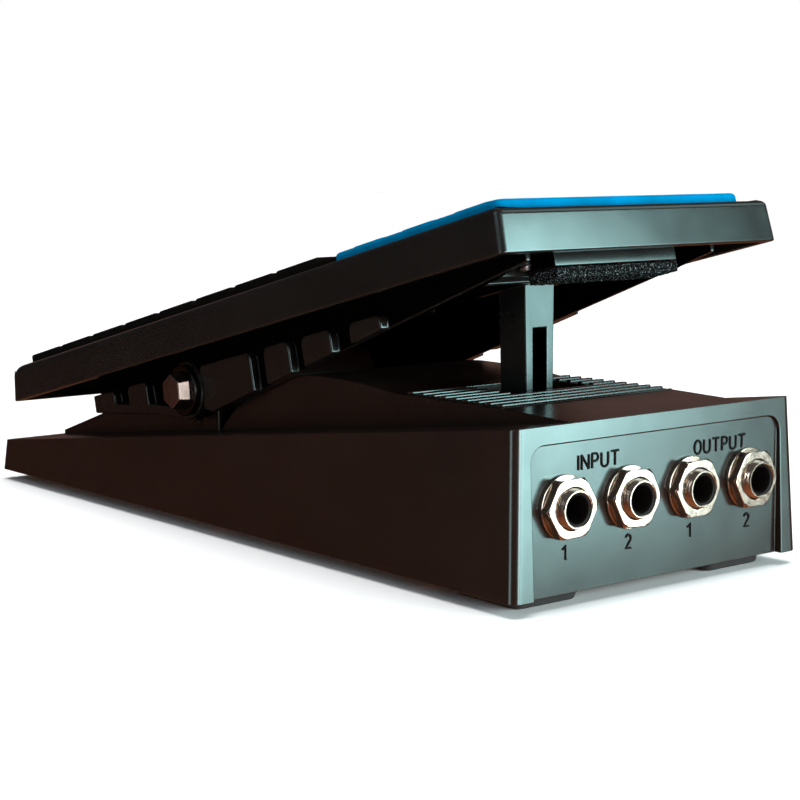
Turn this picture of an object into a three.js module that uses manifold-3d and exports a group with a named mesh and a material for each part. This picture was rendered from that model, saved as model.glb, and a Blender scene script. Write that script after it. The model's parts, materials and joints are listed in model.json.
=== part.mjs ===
// A volume pedal: a wedge-shaped plastic base with four jack sockets in its toe end, and a treadle
// that rocks on two hinge bolts. A rack arm under the treadle slides through the base's top and
// turns a pinion on the volume potentiometer.
// Millimetres. +Z is up, -Y is the toe end with the jacks, +Y is the heel end, and X runs across.
// The origin is on the floor, in the middle of the whole pedal's footprint.
import * as THREE from "three";
import { mergeVertices } from "three/addons/utils/BufferGeometryUtils.js";
import Module from "manifold-3d";

const wasm = await Module();
wasm.setup();

// ---- driving dimensions ----
const WALL = 2.5; // moulded wall of the base and the treadle
const GAP = 0.1; // between neighbours that touch
const FIT = 0.3; // between neighbours that are assembled loose

// base
const BASE_W = 94;
const TOE_Y = -125;
const HEEL_Y = 127.9;
const RIM_Z = 3; // underside of the base, above the floor
const TOE_H = 42.15; // top of the side ledge at the toe
const LEDGE_FALL = 0.1173; // fall of the ledge towards the heel, per mm
const DRAFT = 0.046; // lean of the moulded walls, per mm of height
const BASE_CORNER = 2.4;
const PANEL_Y = -122.9; // floor of the jack recess
const PANEL_TOP = 37.6;
const PANEL_HALF = 41;
const HUMP_HALF = 28.5; // half width of the raised middle of the base
const PLATEAU_Z = 42.85;
const PLATEAU_Y = [-99.5, -59]; // ribbed plateau, from toe to heel
const RIBS = 9;
const RIB_PITCH = 4.25;
const RIB_FIRST_Y = -97;
const RIB_H = 0.7;
const RIB_W = 2.1;
const RIB_DRAFT = 0.3; // taken off all round by the top
const RIB_END = HUMP_HALF - 0.6;
const SLOT_X = [-9, 19]; // opening that the rack arm goes through, longer on the right
const SLOT_Y = [-82.1, -59.5];

// treadle hinge
const PIVOT_Y = 33;
const PIVOT_Z = 36;
const TILT = THREE.MathUtils.degToRad(12.84); // toe up, at rest on the heel stop
const BOLT_R = 3;
const RAMP_END = [119, 15]; // heel end of the pedestal's ramp
const HEAD_AF = 10;
const HEAD_T = 3.6;
const BOSS_R = 8.5;

// treadle, in its own frame: origin on the hinge axis, Y to the heel, Z square to the top
const SOLE_W = 89.6;
const SOLE_TOE = -158;
const SOLE_HEEL = 89.2;
const SOLE_CORNER = 1.6;
const SKIRT_Z = 9.3; // lower edge of the skirt
const SOLE_Z = 20; // top face under the pads
const EAR_X = [29.5, 33.5]; // inner face of the two ears and outer face of their blocks
const EAR_T = 1.5; // between the blocks
const CROSS_WALLS = [
  [-137, -135],
  [-126, -124],
];
const CARRIER_HALF = 20; // block that carries the toe bumper
const CARRIER_Y = [-147.3, -137.3];
const CARRIER_Z = 7.5;
const BUMPER_T = 2.8;
const BUMPER_SCREW = [22.3, -140.2];
const PAD_INSET = 5;

// rack, pinion and potentiometer
const ARM_Y = -76.5; // middle of the arm, front to back
const ARM_D = 10;
const ARM_BOTTOM = 28;
const ARM_SLOT_TOP = 58.9;
const ARM_PIN_Z = 73.5;
const PIN_R = 1.5;
const MODULE = 0.8;
const TEETH = 17;
const BACKLASH = 0.26; // taken off every tooth
const RACK_Y = -78; // pitch line of the rack
const PITCH = Math.PI * MODULE;
const PINION_R = (MODULE * TEETH) / 2;
const PINION_Y = RACK_Y - PINION_R;
const PINION_Z = 29.6;
const SHAFT_R = 2.8;

// jacks
const JACK_X = [-30.3, -10.1, 10.1, 30.3];
const JACK_Z = 23;
const JACK_TIP = -127.9;
const THREAD_R = 4.7;
const BORE_R = 3.25;
const MOUTH_R = 3.85;
const WASHER_R = 7.5;
const NUT_AF = 13.4;
const NUT_TURNS = [0.5, 0.58, 0.52, 0.55]; // how far each nut is tightened

// ---- helpers: three.js shapes in, closed solids out ----
const AXES = {
  X: new THREE.Matrix4().makeBasis(axis(0, 1, 0), axis(0, 0, 1), axis(1, 0, 0)),
  Y: new THREE.Matrix4().makeBasis(axis(0, 0, 1), axis(1, 0, 0), axis(0, 1, 0)),
  Z: new THREE.Matrix4(),
};

function axis(x, y, z) {
  return new THREE.Vector3(x, y, z);
}

function toSolid(geometry) {
  const bare = geometry.clone();
  bare.deleteAttribute("normal");
  bare.deleteAttribute("uv");
  const merged = mergeVertices(bare, 1e-4);
  return new wasm.Manifold(
    new wasm.Mesh({
      numProp: 3,
      vertProperties: merged.attributes.position.array,
      triVerts: new Uint32Array(merged.index.array),
    }),
  );
}

function toGeometry(solid) {
  const mesh = solid.getMesh();
  const geometry = new THREE.BufferGeometry();
  geometry.setAttribute("position", new THREE.BufferAttribute(mesh.vertProperties, 3));
  geometry.setIndex(new THREE.BufferAttribute(mesh.triVerts, 1));
  const flat = geometry.toNonIndexed();
  flat.computeVertexNormals();
  return flat;
}

function box([x0, x1], [y0, y1], [z0, z1]) {
  const g = new THREE.BoxGeometry(x1 - x0, y1 - y0, z1 - z0);
  return toSolid(g.translate((x0 + x1) / 2, (y0 + y1) / 2, (z0 + z1) / 2));
}

// A flat outline pushed along an axis. Its two coordinates are (y, z) along X, (z, x) along Y
// and (x, y) along Z.
function prism(outline, along, from, to) {
  const shape = outline instanceof THREE.Shape ? outline : new THREE.Shape(outline.map(toPoint));
  const g = new THREE.ExtrudeGeometry(shape, {
    depth: to - from,
    bevelEnabled: false,
    curveSegments: 6,
  });
  return toSolid(g.translate(0, 0, from).applyMatrix4(AXES[along]));
}

function toPoint([a, b]) {
  return new THREE.Vector2(a, b);
}

// A round rod along an axis, through the point (a, b) of the outline plane. With an end radius it
// is a cone.
function rod(radius, along, from, to, a = 0, b = 0, sides = 24, endRadius = radius) {
  const g = new THREE.CylinderGeometry(endRadius, radius, to - from, sides);
  const stand = new THREE.Matrix4().makeRotationX(Math.PI / 2); // its own axis is Y; outlines use Z
  return toSolid(g.applyMatrix4(stand).translate(a, b, (from + to) / 2).applyMatrix4(AXES[along]));
}

function hexagon(acrossFlats, along, from, to, a = 0, b = 0, turn = 0) {
  const r = acrossFlats / Math.sqrt(3);
  const corners = Array.from({ length: 6 }, (_, i) => {
    const t = (i * Math.PI) / 3 + turn;
    return [a + r * Math.cos(t), b + r * Math.sin(t)];
  });
  return prism(corners, along, from, to);
}

function roundedRect(x0, x1, y0, y1, r) {
  const s = new THREE.Shape();
  s.moveTo(x1 - r, y0);
  s.absarc(x1 - r, y0 + r, r, -Math.PI / 2, 0);
  s.absarc(x1 - r, y1 - r, r, 0, Math.PI / 2);
  s.absarc(x0 + r, y1 - r, r, Math.PI / 2, Math.PI);
  s.absarc(x0 + r, y0 + r, r, Math.PI, 1.5 * Math.PI);
  s.closePath();
  return s;
}

// A block between a lower outline and the same outline moved by `lift`, a function of its points.
function lofted(shape, z, lift) {
  const ring = shape.getPoints(5);
  const low = ring.filter((p, i) => p.distanceTo(ring[(i + 1) % ring.length]) > 1e-3);
  const high = low.map((p) => lift(p.x, p.y));
  const n = low.length;
  const points = [...low.flatMap((p) => [p.x, p.y, z]), ...high.flat()];
  const index = [];
  for (let i = 0; i < n; i++) {
    const j = (i + 1) % n;
    index.push(i, j, n + j, i, n + j, n + i);
    if (i > 0 && i < n - 1) index.push(0, i + 1, i, n, n + i, n + i + 1);
  }
  const g = new THREE.BufferGeometry();
  g.setAttribute("position", new THREE.Float32BufferAttribute(points, 3));
  g.setIndex(index);
  return toSolid(g);
}

function union(...solids) {
  return solids.reduce((a, b) => a.add(b));
}

function both(make) {
  return union(make(-1), make(1));
}

// A stretch of X between two distances from the middle plane, on the side given by its sign.
function across(side, near, far) {
  return side > 0 ? [near, far] : [-far, -near];
}

const SIDES = { left: -1, right: 1 };

const root = new THREE.Group();
root.name = "volume_pedal";

function put(name, solid, colour, roughness, metalness = 0, parent = root) {
  const material = new THREE.MeshStandardMaterial({ color: colour, roughness, metalness });
  const mesh = new THREE.Mesh(toGeometry(solid), material);
  mesh.name = name;
  parent.add(mesh);
}

const BLACK = 0x17181a;
const STEEL = 0xb9babd;
const NICKEL = 0xcfc8be;

// ---- base case ----
function ledgeZ(y) {
  return TOE_H - LEDGE_FALL * (y - TOE_Y);
}

// The wedge, inset by `wall` all round and with its top lowered by as much.
function wedge(wall, z, toeY) {
  const half = BASE_W / 2 - wall;
  const outline = roundedRect(-half, half, toeY, HEEL_Y - wall, BASE_CORNER);
  return lofted(outline, z, (x, y) => {
    const topY = y + (y < 0 ? 1.3 : -1.9);
    const top = ledgeZ(topY) - wall;
    return [x - Math.sign(x) * DRAFT * (top - z), topY, top];
  });
}

// The raised middle: ribbed plateau, shallow crown, then an arc down to the ledge.
function humpOutline(drop) {
  const s = new THREE.Shape();
  const crown = { y: -26, z: 44.6 - drop, r: 60 };
  const fall = THREE.MathUtils.degToRad(25);
  s.moveTo(PLATEAU_Y[0] + drop, 12);
  s.lineTo(PLATEAU_Y[0] + drop, PLATEAU_Z - drop);
  s.lineTo(PLATEAU_Y[1], PLATEAU_Z - drop);
  s.quadraticCurveTo(-45, crown.z, crown.y, crown.z);
  s.absarc(crown.y, crown.z - crown.r, crown.r, Math.PI / 2, Math.PI / 2 - fall, true);
  s.lineTo(15, 31.9 - drop);
  s.lineTo(22 - drop, 26 - drop);
  s.lineTo(22 - drop, 12);
  s.closePath();
  return s;
}

// The block behind the hump that carries the hinge bolts, with its ramp to the heel.
function pedestalOutline(drop) {
  const s = new THREE.Shape();
  const r = 9 - drop;
  s.moveTo(24 + drop, 12);
  s.lineTo(24 + drop, PIVOT_Z);
  s.absarc(PIVOT_Y, PIVOT_Z, r, Math.PI, THREE.MathUtils.degToRad(17), true);
  s.lineTo(RAMP_END[0] - 2 * drop, RAMP_END[1] - 0.4 * drop);
  s.lineTo(RAMP_END[0] - 2 * drop, 12);
  s.closePath();
  return s;
}

// The full, slightly rounded slope from the plateau down to the panel's top edge.
function toeSlope() {
  const toe = TOE_Y + 1.3;
  const s = new THREE.Shape();
  s.moveTo(toe, 12);
  s.lineTo(toe, ledgeZ(toe));
  s.quadraticCurveTo(-113, PLATEAU_Z - 0.3, PLATEAU_Y[0] + 1, PLATEAU_Z);
  s.lineTo(PLATEAU_Y[0] + 1, 12);
  s.closePath();
  return prism(s, "X", -HUMP_HALF, HUMP_HALF);
}

function ribY(i) {
  return RIB_FIRST_Y + i * RIB_PITCH;
}

// A bar across the plateau with blunt ends and leaning sides.
function rib(i) {
  const half = RIB_W / 2;
  const y = ribY(i);
  const side = (s) => [
    [s * (RIB_END - half), y - s * half],
    [s * RIB_END, y],
    [s * (RIB_END - half), y + s * half],
  ];
  const outline = new THREE.Shape([...side(1), ...side(-1)].map(toPoint));
  return lofted(outline, 42, (px, py) => [
    px - RIB_DRAFT * Math.sign(px),
    py - RIB_DRAFT * Math.sign(py - y),
    PLATEAU_Z + RIB_H,
  ]);
}

const SCREWS = [-1, 1].flatMap((side) => [-86, 5, 100].map((y) => [side * 40.8, y]));

function baseCase() {
  let solid = union(
    wedge(0, RIM_Z, TOE_Y),
    toeSlope(),
    prism(humpOutline(0), "X", -HUMP_HALF, HUMP_HALF),
    prism(pedestalOutline(0), "X", -HUMP_HALF, HUMP_HALF),
  );
  for (let i = 0; i < RIBS; i++) solid = solid.add(rib(i));
  const inner = HUMP_HALF - WALL;
  const hollow = union(
    wedge(WALL, RIM_Z - 1, PANEL_Y + WALL),
    prism(humpOutline(WALL), "X", -inner, inner),
    prism(pedestalOutline(WALL), "X", -inner, inner),
    box([-42, 42], [PANEL_Y + WALL, PANEL_Y + 6], [RIM_Z - 1, 36]),
  );
  solid = solid.subtract(hollow);
  for (const [x, y] of SCREWS) {
    const post = rod(3.6, "Z", 4.5, ledgeZ(y + 4) - 1.2, x, y, 16);
    solid = solid.add(post).subtract(rod(1.75, "Z", 0, Math.min(16, ledgeZ(y) - 4), x, y, 12));
  }
  // panel recess, open at the bottom
  const flange = roundedRect(-20, PANEL_TOP, -PANEL_HALF, PANEL_HALF, 4);
  solid = solid.subtract(prism(flange, "Y", TOE_Y - 2, PANEL_Y));
  for (const x of JACK_X) {
    solid = solid.subtract(rod(THREAD_R + FIT, "Y", TOE_Y, PANEL_Y + 5, JACK_Z, x));
  }
  solid = solid.subtract(box(SLOT_X, SLOT_Y, [PLATEAU_Z - 6, 60]));
  // hinge bolt bosses inside the pedestal, and their bores
  const bosses = both((side) => rod(8, "X", ...across(side, 17, 27), PIVOT_Y, PIVOT_Z));
  return solid.add(bosses).subtract(rod(BOLT_R + FIT, "X", -40, 40, PIVOT_Y, PIVOT_Z, 20));
}

put("base_case", baseCase(), BLACK, 0.5);

// ---- bottom plate, its screws and the feet ----
const PLATE_T = 1.2;
const plateHalf = BASE_W / 2 - WALL - 0.4;
let plate = prism(
  roundedRect(-plateHalf, plateHalf, PANEL_Y + WALL + 0.4, HEEL_Y - WALL - 1.2, BASE_CORNER),
  "Z",
  RIM_Z,
  RIM_Z + PLATE_T,
);
for (const [x, y] of SCREWS) {
  plate = plate.subtract(rod(3.1, "Z", RIM_Z - 0.01, RIM_Z + PLATE_T + 0.01, x, y, 24, 1.85));
}
put("base_plate", plate, 0x2a2b2d, 0.45, 0.6);

// A countersunk screw, head down, flush with the plate's underside.
SCREWS.forEach(([x, y], i) => {
  const headZ = RIM_Z + 0.05;
  const screw = rod(2.8, "Z", headZ, headZ + 1.25, x, y, 24, 1.4)
    .add(rod(1.4, "Z", headZ + 1, 9, x, y, 12))
    .subtract(box([x - 1.7, x + 1.7], [y - 0.35, y + 0.35], [headZ - 1, headZ + 0.7]))
    .subtract(box([x - 0.35, x + 0.35], [y - 1.7, y + 1.7], [headZ - 1, headZ + 0.7]));
  put(`base_plate_screw_${i + 1}`, screw, STEEL, 0.35, 1);
});

const FEET = [
  ["toe_left", -41, -119],
  ["toe_right", 21, -119],
  ["heel_left", -37, 88],
  ["heel_right", 17, 88],
];
for (const [place, x, y] of FEET) {
  const foot = lofted(roundedRect(x + 0.6, x + 19.4, y + 0.6, y + 23.4, 2.4), 0, (px, py) => [
    px + 0.6 * Math.sign(px - x - 10),
    py + 0.6 * Math.sign(py - y - 12),
    RIM_Z - GAP,
  ]);
  put(`foot_${place}`, foot, 0x101011, 0.9);
}

// ---- jacks ----
const SOCKET_BACK = -96;
JACK_X.forEach((x, i) => {
  const inside = PANEL_Y + WALL + FIT; // behind the panel
  const bushing = rod(THREAD_R, "Y", JACK_TIP, inside + 1, JACK_Z, x, 28)
    .add(rod(6.4, "Y", inside, inside + 1.5, JACK_Z, x, 28))
    .subtract(rod(BORE_R, "Y", JACK_TIP - 1, inside + 3, JACK_Z, x, 28))
    .subtract(rod(MOUTH_R, "Y", JACK_TIP - 1, JACK_TIP + 2.4, JACK_Z, x, 28));
  put(`jack_bushing_${i + 1}`, bushing, NICKEL, 0.22, 1);
  const face = inside + 1.5 + GAP;
  const body = box([x - 7, x + 7], [face, SOCKET_BACK], [JACK_Z - 7, JACK_Z + 7]).subtract(
    rod(BORE_R + 0.4, "Y", face - 1, SOCKET_BACK - 2, JACK_Z, x),
  );
  put(`jack_body_${i + 1}`, body, 0x1d1d1f, 0.6);
  const washer = rod(WASHER_R, "Y", PANEL_Y - 0.85, PANEL_Y - 0.05, JACK_Z, x, 28).subtract(
    rod(THREAD_R + 0.35, "Y", PANEL_Y - 3, PANEL_Y + 1, JACK_Z, x),
  );
  put(`jack_washer_${i + 1}`, washer, NICKEL, 0.25, 1);
  const nutY = PANEL_Y - 0.95;
  const nut = hexagon(NUT_AF, "Y", nutY - 2.4, nutY, JACK_Z, x, NUT_TURNS[i])
    .intersect(rod(7.1, "Y", nutY - 2.4, nutY + 0.4, JACK_Z, x, 36, 10.5))
    .subtract(rod(THREAD_R + 0.25, "Y", nutY - 4, nutY + 1, JACK_Z, x, 28));
  put(`jack_nut_${i + 1}`, nut, NICKEL, 0.2, 1);
});
put("jack_board", box([-40, 40], [-118, -97], [14.1, 15.7]), 0x1d5a3a, 0.6);

// ---- hinge hardware on the base ----
for (const [place, side] of Object.entries(SIDES)) {
  const head = EAR_X[1] + 1.6 + 2 * GAP; // outer face of the washer
  const bolt = hexagon(HEAD_AF, "X", ...across(side, head, head + HEAD_T), PIVOT_Y, PIVOT_Z, 0.42).add(
    rod(BOLT_R, "X", ...across(side, 13, head + 1), PIVOT_Y, PIVOT_Z, 20),
  );
  put(`hinge_bolt_${place}`, bolt, 0x141416, 0.35, 0.9);
  const washerX = across(side, head - GAP - 1.4, head - GAP);
  const washer = rod(7.4, "X", ...washerX, PIVOT_Y, PIVOT_Z, 28).subtract(
    rod(BOLT_R + 0.25, "X", -50, 50, PIVOT_Y, PIVOT_Z, 20),
  );
  put(`hinge_washer_${place}`, washer, 0x1b1b1d, 0.35, 0.9);
  const nut = hexagon(HEAD_AF, "X", ...across(side, 13.5, 16.7), PIVOT_Y, PIVOT_Z).subtract(
    rod(BOLT_R + 0.15, "X", -50, 50, PIVOT_Y, PIVOT_Z, 20),
  );
  put(`hinge_nut_${place}`, nut, STEEL, 0.3, 1);
}

// heel stop: a foam block on the pedestal's ramp
const rampGroup = new THREE.Group();
rampGroup.position.set(0, 75, 28.5);
rampGroup.rotation.x = THREE.MathUtils.degToRad(-17);
root.add(rampGroup);
put("heel_stop", box([-19, 19], [-7, 7], [0.3, 4.3]), 0x202022, 0.95, 0, rampGroup);

// ---- arm guide and potentiometer ----
const armBack = ARM_Y + ARM_D / 2;
const guide = box([-7.4, 7.4], [ARM_Y - 2, armBack + 2.6], [RIM_Z + PLATE_T + GAP, 39.8]).subtract(
  box([-5.3, 5.3], [ARM_Y - 9, armBack + 0.4], [0, 50]),
);
put("arm_guide", guide, 0x26272a, 0.55);

const POT = { x0: -25.4, x1: -13.4, r: 8.1, bush: 3.6, bushEnd: -6.4 };
const pot = rod(POT.r, "X", POT.x0, POT.x1, PINION_Y, PINION_Z, 28)
  .add(rod(POT.bush, "X", POT.x1 - 1, POT.bushEnd, PINION_Y, PINION_Z))
  .add(box([POT.x0 + 3, POT.x0 + 9], [PINION_Y - 7, PINION_Y - 5], [17.5, PINION_Z]))
  .subtract(rod(SHAFT_R + 0.2, "X", POT.x0 + 3, 0, PINION_Y, PINION_Z));
put("pot_body", pot, 0x9a9a98, 0.4, 0.7);

const bracketX = POT.x1 + GAP;
const bracket = box([bracketX, bracketX + 1.2], [PINION_Y - 9, PINION_Y + 7], [4.4, 39.6])
  .add(box([bracketX - 12, bracketX + 1.2], [PINION_Y - 9, PINION_Y + 7], [RIM_Z + PLATE_T + GAP, 5.6]))
  .subtract(rod(POT.bush + 0.15, "X", -30, 0, PINION_Y, PINION_Z));
put("pot_bracket", bracket, STEEL, 0.4, 1);
const potNut = hexagon(10, "X", bracketX + 1.2 + GAP, bracketX + 3.3, PINION_Y, PINION_Z).subtract(
  rod(POT.bush + 0.15, "X", -30, 0, PINION_Y, PINION_Z),
);
put("pot_nut", potNut, STEEL, 0.3, 1);

// ---- pinion: a spur gear in the arm's slot, on the potentiometer's shaft ----
function gearOutline() {
  const half = (t, r) => t / (2 * r);
  const thick = PITCH / 2 - BACKLASH;
  const flank = MODULE * Math.tan(THREE.MathUtils.degToRad(20));
  const levels = [
    [PINION_R - 1.2 * MODULE, thick + 1.6 * flank],
    [PINION_R, thick],
    [PINION_R + 0.9 * MODULE, thick - 2 * flank],
  ];
  const points = [];
  for (let i = 0; i < TEETH; i++) {
    const middle = ((i + 0.5) * 2 * Math.PI) / TEETH; // a gap faces the rack
    const corner = ([r, t], side) => {
      const a = middle + side * half(t, r);
      return [PINION_Y + r * Math.cos(a), PINION_Z + r * Math.sin(a)];
    };
    points.push(...levels.map((l) => corner(l, -1)), ...levels.toReversed().map((l) => corner(l, 1)));
  }
  return points;
}

const pinion = prism(gearOutline(), "X", -1.6, 1.6).subtract(
  rod(SHAFT_R + 0.1, "X", -5, 5, PINION_Y, PINION_Z),
);
put("pinion_gear", pinion, 0xd8d4c8, 0.5);
put("pot_shaft", rod(SHAFT_R, "X", POT.x0 + 4, 2.6, PINION_Y, PINION_Z), STEEL, 0.3, 1);

// ---- rack arm: a post with an eye at its top and a toothed slot in its front ----
const armFront = ARM_Y - ARM_D / 2;
function armOutline() {
  // (z, x) for a prism along Y: straight foot, then widening to the eye
  return [
    [ARM_BOTTOM, -4.5],
    [43.6, -4.5],
    [71.5, -4.95],
    [80, -4.95],
    [80, 4.95],
    [71.5, 4.95],
    [43.6, 4.5],
    [ARM_BOTTOM, 4.5],
  ];
}

function rackSlot() {
  const top = ARM_SLOT_TOP;
  const tip = RACK_Y - MODULE;
  const rootY = RACK_Y + 1.1 * MODULE;
  const lean = MODULE * Math.tan(THREE.MathUtils.degToRad(20));
  const half = (PITCH / 2 - BACKLASH) / 2;
  const points = [
    [armFront - 1, ARM_BOTTOM - 1],
    [tip, ARM_BOTTOM - 1],
  ];
  for (let z = PINION_Z; z < top - 3; z += PITCH) {
    points.push([tip, z - half + lean], [tip, z + half - lean]);
    points.push([rootY, z + half + 1.1 * lean], [rootY, z + PITCH - half - 1.1 * lean]);
  }
  points.splice(2, 0, [rootY, ARM_BOTTOM - 1], [rootY, PINION_Z - half - 1.1 * lean]);
  points.splice(1, 1);
  points.push([rootY, top], [armFront - 1, top]);
  return points;
}

const eye = new THREE.Shape();
eye.moveTo(armFront, ARM_BOTTOM);
eye.lineTo(armFront + ARM_D, ARM_BOTTOM);
eye.lineTo(armFront + ARM_D, ARM_PIN_Z);
eye.absarc(ARM_Y, ARM_PIN_Z, ARM_D / 2 - 0.4, 0, Math.PI);
eye.lineTo(armFront, ARM_PIN_Z);
eye.closePath();
const arm = prism(armOutline(), "Y", armFront, armFront + ARM_D)
  .intersect(prism(eye, "X", -6, 6))
  .subtract(prism(rackSlot(), "X", -2.2, 2.2))
  .subtract(rod(PIN_R + 0.1, "X", -10, 10, ARM_Y, ARM_PIN_Z));
put("rack_arm", arm, 0x1a1b1d, 0.45);

const CHEEK_X = [5.4, 8];
put("arm_pin", rod(PIN_R, "X", -9.8, 9.8, ARM_Y, ARM_PIN_Z, 20), STEEL, 0.3, 1);
for (const [place, side] of Object.entries(SIDES)) {
  const clip = rod(3, "X", side * 8.8 - 0.4, side * 8.8 + 0.4, ARM_Y, ARM_PIN_Z, 20).subtract(
    rod(PIN_R + 0.1, "X", -12, 12, ARM_Y, ARM_PIN_Z, 20),
  );
  put(`arm_pin_clip_${place}`, clip, STEEL, 0.3, 1);
}

// ---- treadle, in its own tilted frame ----
const rocker = new THREE.Group();
rocker.position.set(0, PIVOT_Y, PIVOT_Z);
rocker.rotation.x = -TILT;
root.add(rocker);

function tray(wall, z, top) {
  const half = SOLE_W / 2 - wall;
  const outline = roundedRect(-half, half, SOLE_TOE + wall, SOLE_HEEL - wall, SOLE_CORNER);
  return lofted(outline, z, (x, y) => [
    x - 0.8 * Math.sign(x),
    y - 0.8 * Math.sign(y),
    top,
  ]);
}

// The lower edge of an ear: up to the skirt at the toe, round the boss, up again at the heel.
const EAR_TOE = [-150, SKIRT_Z - 0.75];
const EAR_HEEL = [56.3, 0.4];
function earOutline() {
  const s = new THREE.Shape();
  s.moveTo(EAR_TOE[0], SOLE_Z - 1);
  s.lineTo(...EAR_TOE);
  s.lineTo(-12, -7.95);
  s.absarc(0, 0, BOSS_R, THREE.MathUtils.degToRad(225), THREE.MathUtils.degToRad(290), false);
  s.lineTo(20.5, -4.6);
  s.lineTo(...EAR_HEEL);
  s.lineTo(EAR_HEEL[0], SOLE_Z - 1);
  s.closePath();
  return s;
}

// Raised blocks on the ears' outer faces, from and to along Y, with rounded tops.
const BLOCKS = [
  [-96, -82.5],
  [-74, -60.5],
  [-54.4, -42],
  [-35.2, -8],
  [22.8, 34.6],
  [43, 60],
];
const BLOCK_TOP = 5.8;
const BLOCK_CORNER = 2.2;
const BAND_H = 3.2; // the blocks behind the hinge stand on a raised band

function ear(side) {
  const plateSolid = prism(earOutline(), "X", ...across(side, EAR_X[0], EAR_X[0] + EAR_T));
  const blockX = across(side, EAR_X[0] + 1, EAR_X[1]);
  const outer = prism(earOutline(), "X", ...blockX);
  const blocks = BLOCKS.map((y) =>
    prism(roundedRect(...y, -20, BLOCK_TOP, BLOCK_CORNER), "X", ...blockX),
  );
  const band = outer
    .subtract(outer.translate([0, 0, BAND_H]))
    .intersect(box(blockX, [0, EAR_HEEL[0]], [-12, 6]));
  const boss = rod(BOSS_R, "X", ...across(side, ...EAR_X));
  return union(plateSolid, outer.intersect(union(...blocks)), band, boss);
}

// Where the arm's pin is in the treadle's frame, and the slot that lets it creep to the heel.
const pinHome = new THREE.Vector2(ARM_Y - PIVOT_Y, ARM_PIN_Z - PIVOT_Z).rotateAround(
  new THREE.Vector2(),
  TILT,
);
const PIN_CREEP = 5.4;

function cheek(side) {
  const y = [pinHome.x - 6.5, pinHome.x + 11.5];
  return box(across(side, ...CHEEK_X), y, [pinHome.y - 5, SOLE_Z - 1]);
}

function pinSlot() {
  const r = PIN_R + 0.35;
  return roundedRect(pinHome.x - r, pinHome.x + PIN_CREEP + r, pinHome.y - r, pinHome.y + r, r - 0.01);
}

const STOP_RIB_Z = 7.6; // ribs that land on the heel stop
function treadle() {
  let solid = tray(0, SKIRT_Z, SOLE_Z).subtract(tray(WALL, SKIRT_Z - 1, SOLE_Z - WALL));
  const inner = EAR_X[0] + 0.5;
  solid = solid
    .add(both(ear))
    .add(both(cheek))
    .add(union(...CROSS_WALLS.map((y) => box([-inner, inner], y, [7.1, SOLE_Z - 1]))))
    .add(box([-inner, inner], [36, 38], [STOP_RIB_Z, SOLE_Z - 1]))
    .add(box([-inner, inner], [48, 50], [STOP_RIB_Z, SOLE_Z - 1]))
    .add(box([-42.5, 42.5], [-40, -38], [SKIRT_Z + 3, SOLE_Z - 1]));
  const heelChamfer = prism(
    [
      [SOLE_HEEL - 4, SOLE_Z + 0.5],
      [SOLE_HEEL + 1, SOLE_Z - 4.5],
      [SOLE_HEEL + 3, SOLE_Z + 3],
    ],
    "X",
    -50,
    50,
  );
  const screwHoles = both((side) => {
    const [x, y] = [side * BUMPER_SCREW[0], BUMPER_SCREW[1]];
    const countersink = rod(1.4, "Z", SOLE_Z - 1.5, SOLE_Z + 0.01, x, y, 24, 2.7);
    return rod(1.4, "Z", 15, SOLE_Z, x, y).add(countersink);
  });
  return solid
    .subtract(heelChamfer)
    .subtract(screwHoles)
    .subtract(rod(BOLT_R + 2.3, "X", -50, 50))
    .subtract(prism(pinSlot(), "X", -10, 10));
}

put("treadle", treadle(), BLACK, 0.5, 0, rocker);

for (const [place, side] of Object.entries(SIDES)) {
  const x = across(side, EAR_X[0] + 0.05, EAR_X[1] - 0.05);
  const bush = rod(BOLT_R + 2.1, "X", ...x).subtract(rod(BOLT_R + 0.12, "X", -50, 50, 0, 0, 28));
  put(`pivot_bush_${place}`, bush, 0xe4e0d6, 0.5, 0, rocker);
}

// ---- pads and toe bumper ----
const padHalf = SOLE_W / 2 - PAD_INSET;
const PAD_Z = SOLE_Z + GAP;
const PAD_SPLIT = -88;
const HEEL_PAD_GROOVES = 7;
const heelPadBack = SOLE_HEEL - PAD_INSET;
const heelPadOutline = roundedRect(-padHalf, padHalf, PAD_SPLIT + 0.3, heelPadBack, 3);
let heelPad = prism(heelPadOutline, "Z", PAD_Z, SOLE_Z + 3.2);
heelPad = heelPad.subtract(box([-60, 60], [PAD_SPLIT - 2, -82], [SOLE_Z + 2.2, SOLE_Z + 6]));
for (let i = 0; i < HEEL_PAD_GROOVES; i++) {
  const y = 62 - i * 20.6;
  heelPad = heelPad.subtract(box([-60, 60], [y - 1.2, y + 1.2], [SOLE_Z + 2.3, SOLE_Z + 6]));
}
put("heel_pad", heelPad, 0x141415, 0.8, 0, rocker);

const toePadFront = SOLE_TOE + PAD_INSET;
const toePadOutline = roundedRect(-padHalf, padHalf, toePadFront, PAD_SPLIT - 0.3, 3);
let toePad = prism(toePadOutline, "Z", PAD_Z, SOLE_Z + 2.6);
for (const row of [0, 1, 2]) {
  for (const column of [-1, 0, 1]) {
    const [x, y] = [column * 26, toePadFront + 12 + row * 20];
    const tile = roundedRect(x - 11.6, x + 11.6, y - 8, y + 8, 3);
    toePad = toePad.add(prism(tile, "Z", SOLE_Z + 2, SOLE_Z + 3.1));
  }
}
put("toe_pad", toePad, 0x0b86c4, 0.6, 0, rocker);

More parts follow.
